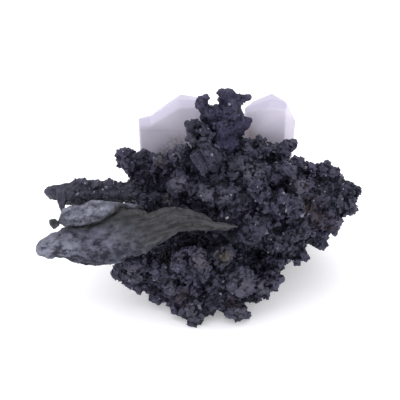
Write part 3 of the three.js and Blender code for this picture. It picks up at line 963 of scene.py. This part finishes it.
# %% Crystals on the mass
mass_chips = twin(mass, "silver_mass_chips")
strew(mass_chips, 260000.0, smallest=0.35, largest=1.0, seed=4, patchiness=0.4, lowest=1.9 * MM,
      lightest_tone=0.8)
mass_crystals = twin(mass, "silver_mass_crystals")
strew(mass_crystals, 880000.0, smallest=0.2, largest=0.55, seed=5, patchiness=0.7, patch_size=5 * MM,
      lowest=1.1 * MM)
black_silver = finished("black_silver", tarnish, metallic=0.6, depth=0.2 * MM)
dress(mass, black_silver, "silver_mass")
dress(mass_chips, black_silver)
dress(mass_crystals, black_silver)

# %% [markdown]
# ## The ribbed slab
#
# One flat crystal lies open near the crown, with ribs that fan across it. It is a bevelled plate with its
# own fine skin, let into the mass. The ribs come from the same lengthwise grain as the blades' further on,
# so the plate remembers where each corner is in its own directions: along the ribs, through it and across.

# %% The plate
SLAB_AT = (206, 157)
SLAB_SIZE = (6.4, 1.5, 7.0)  # along, through and across, in millimetres
SLAB_BEVEL = 0.9 * MM
SLAB_SUNK = 0.5 * MM
SLAB_TURN = (-24, 6, -56)  # tip back, swing and roll from facing the camera, in degrees

slab_turn = rolled(SLAB_TURN[2])
slab_turn = slab_turn @ Matrix.Rotation(math.radians(SLAB_TURN[1]), 3, "Y")
slab_turn = slab_turn @ Matrix.Rotation(math.radians(90 + SLAB_TURN[0]), 3, "X")
slab_middle = seen_at(mass, *SLAB_AT) - towards_camera * SLAB_SUNK
nothing_selected()
bpy.ops.mesh.primitive_cube_add(size=1, location=slab_middle, rotation=slab_turn.to_euler())
slab = bpy.context.object
slab.name = "silver_slab"
slab.data.name = "silver_slab"
slab.scale = Vector(SLAB_SIZE) * MM
bpy.ops.object.transform_apply(location=True, rotation=True, scale=True)
edit_whole(slab, bpy.ops.mesh.bevel, offset=SLAB_BEVEL, segments=1, affect="EDGES")
fine_skin(slab, square=0.16 * MM)
own = (corners_of(slab) - numpy.array(slab_middle)) @ numpy.array(slab_turn)
store(slab, "grain", own)
print("slab at", [round(c / MM, 1) for c in slab_middle], triangles(slab), "triangles")

# %% [markdown]
# ## The spire
#
# The spire is more massive than the rest: rounded knobs with few crystals on them, and bluer. It is made as
# the mass is, with a finer skin and a softer relief.

# %% The spire
blue_silver = finished("blue_silver", tarnish, metallic=0.8, depth=0.15 * MM,
                       Hollow=(0.01, 0.009, 0.022, 1), Crest=(0.085, 0.08, 0.135, 1),
                       Patch=(0.035, 0.032, 0.07, 1))
spire = copy_of("silver_spire", "silver_spire_skin")
fill_gaps(spire, square=0.4 * MM, shrink=HALF_GAP / 2)
strew(spire, 160000.0, smallest=0.3, largest=0.9, seed=11, keep_skin=True, patchiness=0.4,
      lowest=1.5 * MM)
fine_skin(spire, square=0.25 * MM)
shape_by(spire, relief, lump_size=2.6 * MM, lump_height=0.9 * MM, facet_size=0.9 * MM,
         facet_height=0.28 * MM)
spire_crystals = twin(spire, "silver_spire_crystals")
strew(spire_crystals, 500000.0, smallest=0.18, largest=0.4, seed=12, patchiness=0.9)
dress(spire, blue_silver, "silver_spire")
dress(spire_crystals, blue_silver)

# %% [markdown]
# ## Grain along a blade
#
# The blades are horns of silver that grew lengthwise, and their skin has a grain like weathered wood. A
# pattern on plain X, Y, Z would cut across where a blade curves. So each corner is given a place along the
# blade and off its middle line first, and the grain is drawn in those.

# %% Follow a blade's middle line
SLICES = 16


def follow(piece):
    """Stores on each corner its place along the piece and off the piece's middle line."""
    places = corners_of(piece)
    edges = numpy.linspace(places[:, 0].min(), places[:, 0].max(), SLICES + 1)
    stations = (edges[:-1] + edges[1:]) / 2
    middles = []
    for low, high in zip(edges[:-1], edges[1:]):
        inside = places[(places[:, 0] >= low) & (places[:, 0] <= high), 1:]
        middles.append((inside.min(0) + inside.max(0)) / 2)
    middles = numpy.array(middles)
    off = places.copy()
    for axis in (1, 2):
        off[:, axis] -= numpy.interp(places[:, 0], stations, middles[:, axis - 1])
    store(piece, "grain", off)


# %% Node group for the grain
GRAIN_STRETCH = (0.11, 1.0, 1.0)  # the grain changes far slower along a blade than across it
WOODY_FROM = -23 * MM  # where along X the mottled end stops
WOODY_TO = -11 * MM  # and where the woody end is full
WOODY_SLANT = 1.2  # how much further the woody skin reaches along the upper edge
WOODY_WANDER = (4 * MM, 16 * MM)  # size and width of the wandering edge between the two
CALMED = 0.3  # how much is left of the ridges on the mottled end, and of the pits on the woody end
SWELL_SIZE = 5 * MM
FINE_GRAIN_SIZE = 0.5 * MM
BLADE_CREST = ((6, 0.16 * MM), (40, 0.9 * MM))  # a close look and a wide one, as on the mass


def woody(tree, grain_place):
    """0 on the mottled end of a blade and 1 on the woody end."""
    size, width = WOODY_WANDER
    wander = centred(tree, noise(tree, grain_place, size, 3.0), width)
    off = parts_of(tree, grain_place)
    along = total(tree, off["X"], product(tree, off["Z"], WOODY_SLANT), wander)
    return ramp(tree, along, WOODY_FROM, WOODY_TO)


def grain_group():
    group, given, result = shape_group("lengthwise_grain", {
        "Ridge Size": 1.1 * MM,
        "Ridge Height": 0.9 * MM,
        "Swell Height": 1.2 * MM,
        "Pit Size": 1.7 * MM,
        "Pit Height": 1.1 * MM,
        "Fine Height": 0.2 * MM,
    })
    place = place_in(group)
    grain_place = add(group, "GeometryNodeInputNamedAttribute", {"Name": "grain"}, data_type="FLOAT_VECTOR")
    lengthwise = vectors(group, "MULTIPLY", grain_place.outputs[0], GRAIN_STRETCH)
    share = woody(group, grain_place.outputs[0])
    ridges = centred(group, noise(group, lengthwise, given["Ridge Size"], 2.0), given["Ridge Height"])
    pits = centred(group, noise(group, place, given["Pit Size"], 3.0), given["Pit Height"])
    height = total(
        group,
        product(group, ridges, ramp(group, share, 0.0, 1.0, CALMED, 1.0)),
        product(group, pits, ramp(group, share, 0.0, 1.0, 1.0, CALMED)),
        centred(group, noise(group, place, SWELL_SIZE, 2.0), given["Swell Height"]),
        centred(group, noise(group, place, FINE_GRAIN_SIZE, 2.0), given["Fine Height"]))
    moved = pushed_out(group, given["Geometry"], height)
    return handed_out(group, result, Geometry=with_crest(group, moved, BLADE_CREST))


grain = grain_group()

# %% [markdown]
# ## Ribs on the slab
#
# With high ridges and a fine grain the same group makes the slab's ribs.

# %% Ribs on the slab
shape_by(slab, grain, ridge_size=0.9 * MM, ridge_height=1.2 * MM, swell_height=1.4 * MM,
         pit_height=2.0 * MM, fine_height=0.5 * MM)
dress(slab, black_silver)

# %% [markdown]
# ## Patina
#
# The blades are smoother than the mass. Their ends have turned a mottled blue-grey, in clouds a few
# millimetres wide, and towards the mass they carry a grey-brown skin like old wood. The patina group lays
# down both, lightens the crests, darkens the pits, and passes from one to the other as the grain does. It
# also paints light and shade: each blade lighter above and darker below, and black painted shadow where
# another piece lies close.

# %% Node group for the patina
FIBRE_SIZE = 0.45 * MM
CLOUD_SIZE = 1.4 * MM
CLOUD_STRETCH = (0.6, 1.0, 1.0)
MOST_PAINTED_LIGHT = 0.1  # how much painted light lightens the upper half of a blade at most
MOTTLED_RANGE = (-0.85, 1.2)  # the lift of the darkest spot and of the lightest
TIP_RANGE = (-0.6, 0.6)
WOODY_RANGE = (0.1, 0.95)
PATINA_ROUGH = (0.5, 0.7)


def patina_group():
    group, given, result = finish_group("patina", {
        "Dark": (0.008, 0.009, 0.022, 1),
        "Light": (0.15, 0.156, 0.21, 1),
        "Tip": (0.24, 0.25, 0.31, 1),
        "Woody Dark": (0.012, 0.012, 0.014, 1),
        "Woody Light": (0.055, 0.053, 0.058, 1),
        "Woody": 1.0,
        # Painted shade: how much darker a blade gets per metre below its middle line.
        "Lower Darker": 150.0,
    })
    place = add(group, "ShaderNodeTexCoord").outputs["Object"]
    grain_place = add(group, "ShaderNodeAttribute", attribute_name="grain").outputs["Vector"]
    fibres = noise(group, vectors(group, "MULTIPLY", grain_place, GRAIN_STRETCH), FIBRE_SIZE, 2.0)
    clouds = noise(group, vectors(group, "MULTIPLY", grain_place, CLOUD_STRETCH), CLOUD_SIZE, 6.0)
    fine = noise(group, place, FINE_GRAIN_SIZE, 3.0)
    crest = stored(group, "crest")
    # Painted light and shade: the upper half of a blade is lightened a little, and the lower half darkened.
    painted_height_shade = product(group, parts_of(group, grain_place)["Z"], given["Lower Darker"])
    painted_height_shade = maths(group, "MINIMUM", painted_height_shade, MOST_PAINTED_LIGHT)
    # The numbers are how much each thing lifts a spot from dark to light.
    lift = total(group, product(group, crest, 0.4), centred(group, clouds, 5.0), centred(group, fine, 1.4),
                 painted_height_shade, -0.2)
    mottled = mixed(group, ramp(group, lift, *MOTTLED_RANGE), given["Dark"], given["Light"])
    tip = product(group, stored(group, "pale"), ramp(group, lift, *TIP_RANGE))
    mottled = mixed(group, tip, mottled, given["Tip"])
    lift = total(group, product(group, crest, 0.5), centred(group, fibres, 1.5),
                 centred(group, clouds, 1.6), centred(group, fine, 0.8), 0.18)
    aged = mixed(group, ramp(group, lift, *WOODY_RANGE), given["Woody Dark"], given["Woody Light"])
    share = product(group, woody(group, grain_place), given["Woody"])
    colour = mixed(group, share, mottled, aged)
    # Painted shadow where another piece lies close, in the woody dark colour.
    colour = mixed(group, stored(group, "soot"), colour, given["Woody Dark"])
    rough = ramp(group, fine, *NOISE_SPAN, *PATINA_ROUGH)
    return handed_out(group, result, Colour=colour, Roughness=rough, Height=total(group, fine, fibres))


patina = patina_group()

# %% [markdown]
# ## The large blade
#
# The large blade keeps the form of its solid. It gets a skin of quarter millimetre squares, its middle line
# and the grain. Its stains and its painted shadow wait for the small blade, which lies against it.

# %% The large blade
large_blade = copy_of("silver_blade_large", "large_blade_skin")
fine_skin(large_blade, square=0.25 * MM)
follow(large_blade)
shape_by(large_blade, grain)
woody_patina = finished("woody_patina", patina, metallic=0.3, depth=0.2 * MM)

# %% [markdown]
# ## The small blade
#
# The small blade lies against the large one, and a crust of small crystals fills the groove between them,
# dark with the painted shadow of the groove. The crust is two flattened balls, joined to the blade before its
# remesh, so it grows out of it.

# %% The small blade
# Middle, then half width, half depth and half height, of each lump in the grooves, in millimetres.
CRUST = [((-29.9, -13.8, 23.5), (3.6, 1.0, 0.8)), ((-31.2, -13.0, 26.8), (1.6, 0.9, 1.0))]
small_blade = copy_of("silver_blade_small", "small_blade_skin")
for middle, half in CRUST:
    nothing_selected()
    bpy.ops.mesh.primitive_ico_sphere_add(subdivisions=3, location=Vector(middle) * MM)
    bpy.context.object.scale = Vector(half) * MM
    join_to(small_blade)
fine_skin(small_blade, square=0.18 * MM)
follow(small_blade)
shape_by(small_blade, grain, ridge_height=0.4 * MM, swell_height=0.9 * MM, pit_height=0.8 * MM,
         pit_size=1.2 * MM)
# The small blade's lower half gets less painted shade.
grey_patina = finished("grey_patina", patina, metallic=0.3, depth=0.2 * MM, Dark=(0.02, 0.021, 0.038, 1),
                       Light=(0.26, 0.27, 0.335, 1), Woody=0.0, Lower_Darker=40.0)

# %% [markdown]
# ## Painted shadow between the blades
#
# Where the blades lie close together, shadow is painted on both in black. The small blade ends in a dark
# knob, and the large one in its palest part, because a tip is handled and rubbed. The reach is measured from
# mesh to mesh, so the painted shadow follows the groove.

# %% Painted shadow in the groove between the blades
# Where each spot shows in the picture, and its radius in millimetres.
KNOB = [(54, 223, 4.0)]
BLADE_SHADE = [(126, 219, 3.0)]
BLADE_TIP = [(46, 248, 7.0), (66, 252, 5.0), (122, 208, 3.0)]
UNDERCUT = 1.7 * MM  # how far the painted shadow reaches out of the groove

# Painted shadow where the blades lie close, and painted shade at the small blade's right end.
groove = near_piece(small_blade, large_blade, UNDERCUT)
store(small_blade, "soot", numpy.maximum(groove, near_spots(small_blade, KNOB)))
groove = near_piece(large_blade, small_blade, UNDERCUT)
store(large_blade, "soot", numpy.maximum(groove, near_spots(large_blade, BLADE_SHADE)))
store(large_blade, "pale", near_spots(large_blade, BLADE_TIP))
dress(large_blade, woody_patina, "silver_blade_large")
dress(small_blade, grey_patina, "silver_blade_small")

# %% [markdown]
# ## The arm
#
# The arm is smooth and lilac grey where it ends and on top, and granular towards the mass and underneath. So
# its skin gets a gentle relief, and small crystals that start a little way in from its end.

# %% The arm
grey_silver = finished("grey_silver", tarnish, metallic=0.6, depth=0.2 * MM,
                       Hollow=(0.01, 0.01, 0.018, 1), Crest=(0.078, 0.076, 0.108, 1),
                       Patch=(0.05, 0.05, 0.075, 1), Speck=(0.22, 0.22, 0.27, 1), Speck_From=0.82)
arm = copy_of("silver_arm", "silver_arm_skin")
fine_skin(arm, square=0.3 * MM)
shape_by(arm, relief, lump_size=2.2 * MM, lump_height=0.7 * MM, facet_size=0.8 * MM,
         facet_height=0.3 * MM)
arm_crystals = twin(arm, "silver_arm_crystals")
strew(arm_crystals, 1200000.0, smallest=0.2, largest=0.5, seed=21, patchiness=0.6, from_x=-31 * MM)
dress(arm, grey_silver, "silver_arm")
dress(arm_crystals, grey_silver)

# %% [markdown]
# ## The calcite crystals
#
# Calcite grows in thin layers, which leave faint ledges across its faces, and milky calcite has clouds
# inside that scatter the light. The ledges are real but tiny steps in the mesh. For the clouds a little
# subsurface scattering is enough: full scattering inside a volume would take far longer and look the same.
# The crystals are painted lighter towards their tips and darker towards the base, as painted shade from the
# mass. The faces that look up are painted a darker grey, as painted shade that dims the light from above, and
# the faces close to the mass get grainy painted shade.

# %% Node group for the growth ledges
LEDGE_SCALE = 420.0  # ledges per metre of height
LEDGE_STRETCH = (0.08, 0.08, 1.0)  # so that a ledge runs nearly level
LEDGE_HEIGHT = 0.05 * MM
WAVE_SIZE = 7 * MM
WAVE_HEIGHT = 0.3 * MM


def growth_group():
    group, given, result = shape_group("growth_ledges", {})
    place = place_in(group)
    levels = vectors(group, "MULTIPLY", place, LEDGE_STRETCH)
    ledges = add(group, "ShaderNodeTexVoronoi", {"Vector": levels, "Scale": LEDGE_SCALE}).outputs["Color"]
    height = total(group, centred(group, parts_of(group, ledges)["X"], LEDGE_HEIGHT),
                   centred(group, noise(group, place, WAVE_SIZE, 1.0), WAVE_HEIGHT))
    return handed_out(group, result, Geometry=pushed_out(group, given["Geometry"], height))


growth = growth_group()

# %% [markdown]
# ## Milky calcite
#
# The material mixes its colour from clouds, painted shade towards the base, faint bands, one growth line, a
# brown stain, painted shade on the faces that look up, and grainy painted shade near the mass.

# %% Milky calcite
CLOUD_WIDTH = 7 * MM
BAND_SIZE = 1.6 * MM
BAND_STRETCH = (0.1, 0.1, 1.0)  # so that a band runs nearly level
BAND_EDGE = (0.4, 0.6)  # the noise from which a band begins, and from which it is full
BAND_SHARE = 0.2
# Grainy painted shade near the mass.
SHADE_GRAIN_SIZE = 0.7 * MM
SHADE_GRAIN_EDGE = (0.42, 0.62)
SHADE_GRAIN_SHARES = (0.25, 1.0)  # the painted shade's share outside the grains and on them
DARK_CLOUDS_AND_SHADE = (0.63, 0.595, 0.70, 1)
LIGHT_CLOUDS_AND_LIT = (0.86, 0.815, 0.94, 1)
BAND = (0.75, 0.73, 0.78, 1)
GROWTH_LINE = (0.42, 0.41, 0.47, 1)
BROWN = (0.38, 0.29, 0.27, 1)
# Painted shade for the faces that look up.
TOP_SHADE = (0.56, 0.53, 0.655, 1)
# The colour of the painted shade near the mass.
GRAINY_SHADE = (0.2, 0.19, 0.225, 1)
# Below the first height the painted shade is full, and above the second it is gone.
SHADE_FULL_BELOW = 24 * MM
SHADE_GONE_ABOVE = 44 * MM
MOST_MILKY_AND_LIT = 1.2
TOP_SHADE_EDGE = (0.1, 0.8)  # how far up a face looks where the painted shade begins, and where it is full
CALCITE_ROUGH = (0.5, 0.65)
GROWTH_LINE_Z = 37.8 * MM
GROWTH_LINE_WIDTH = 0.5 * MM  # to each side
GROWTH_LINE_SHARE = 0.2


def milky_calcite():
    made, tree, shader = material(
        "milky_calcite", IOR=1.6, Transmission_Weight=0.08, Subsurface_Weight=0.3,
        Subsurface_Radius=(1.0, 0.95, 1.0), Subsurface_Scale=1.5 * MM)
    place = add(tree, "ShaderNodeTexCoord").outputs["Object"]
    clouds = noise(tree, place, CLOUD_WIDTH, 3.0)
    height = parts_of(tree, place)["Z"]
    # Painted shade: the colour is darker towards the base, under the mass, and lighter towards the tips.
    milky_and_lit = total(tree, centred(tree, clouds, 2.0), ramp(tree, height, SHADE_FULL_BELOW, SHADE_GONE_ABOVE))
    colour = mixed(tree, ramp(tree, milky_and_lit, 0.0, MOST_MILKY_AND_LIT), DARK_CLOUDS_AND_SHADE, LIGHT_CLOUDS_AND_LIT)
    bands = noise(tree, vectors(tree, "MULTIPLY", place, BAND_STRETCH), BAND_SIZE, 2.0)
    from_line = maths(tree, "ABSOLUTE", maths(tree, "SUBTRACT", height, GROWTH_LINE_Z))
    on_left = maths(tree, "LESS_THAN", parts_of(tree, place)["X"], 0.0)
    in_line = ramp(tree, from_line, 0.0, GROWTH_LINE_WIDTH, GROWTH_LINE_SHARE, 0.0)
    faces_up = parts_of(tree, add(tree, "ShaderNodeTexCoord").outputs["Normal"])["Z"]
    shade_grains = ramp(tree, noise(tree, place, SHADE_GRAIN_SIZE, 4.0), *SHADE_GRAIN_EDGE, *SHADE_GRAIN_SHARES)
    for share, over in (
            (ramp(tree, bands, *BAND_EDGE, 0.0, BAND_SHARE), BAND),
            (product(tree, on_left, in_line), GROWTH_LINE),
            (product(tree, stored(tree, "brown"), STAIN_AND_SHADE_SHARE), BROWN),
            # Painted shade that dims the faces that look up.
            (ramp(tree, faces_up, *TOP_SHADE_EDGE), TOP_SHADE),
            # Painted shade near the mass, broken into grains.
            (product(tree, stored(tree, "soot"), shade_grains), GRAINY_SHADE)):
        colour = mixed(tree, share, colour, over)
    tree.links.new(colour, shader.inputs["Base Color"])
    tree.links.new(ramp(tree, clouds, *NOISE_SPAN, *CALCITE_ROUGH), shader.inputs["Roughness"])
    return made


calcite = milky_calcite()

# %% [markdown]
# ## The two crystals
#
# Both crystals keep their flat faces, and only their edges are a little worn. So they are remeshed in the
# mode that keeps sharp edges, and then smoothed by a few steps. The left one is two crystals grown together,
# and its smaller part stands back by a small step, which is levelled.

# %% The two crystals
# Where each stain and patch of painted shade shows in the picture, and its radius in millimetres.
CALCITE_STAIN = [(250, 136, 3.5)]
CALCITE_SHADE_SPOTS = {"left": [(177, 146, 4.5), (166, 152, 3.0)], "right": [(246, 142, 2.5)]}
CALCITE_SHADE_REACH = 3.5 * MM
WEAR_STEPS = 3  # of smoothing, for edges a little worn
STEP_LEFT_OF = -12.0 * MM
STEP = 0.7 * MM  # more than it stands back by
FRONT_Y = 7.24 * MM
FRONT_TOP = 39.4 * MM
FRONT_BEND = 34 * MM  # below this height the front face slants back
FRONT_SLANT = 0.0265


def level_step(crystal):
    """Brings the front face that stands back level with the one beside it."""
    places = corners_of(crystal)
    x, y, z = places.T
    front = FRONT_Y + FRONT_SLANT * numpy.maximum(0, FRONT_BEND - z)
    stands_back = (x < STEP_LEFT_OF) & (z < FRONT_TOP) & (y > front) & (y < front + STEP)
    places[stands_back, 1] = front[stands_back]
    crystal.data.vertices.foreach_set("co", places.ravel())
    print("levelled corners:", int(stands_back.sum()))


for side in ("left", "right"):
    crystal = copy_of("calcite_" + side, "calcite_" + side + "_crystal")
    modify(crystal, "REMESH", mode="SHARP", octree_depth=7, scale=0.9, use_remove_disconnected=False)
    if side == "left":
        level_step(crystal)
    modify(crystal, "SMOOTH", iterations=WEAR_STEPS)
    shape_by(crystal, growth)
    bpy.ops.object.shade_smooth()
    if side == "right":
        store(crystal, "brown", near_spots(crystal, CALCITE_STAIN))
    # Painted shade close to the mass.
    shade_near_mass = near_piece(crystal, mass, CALCITE_SHADE_REACH)
    store(crystal, "soot", numpy.maximum(shade_near_mass, near_spots(crystal, CALCITE_SHADE_SPOTS[side])))
    dress(crystal, calcite, "calcite_" + side)

# %% [markdown]
# ## Finish
#
# The small crystals were only patterns to copy, so they go.

# %% Finish
for pattern in list(crystals.objects):
    bpy.data.objects.remove(pattern)
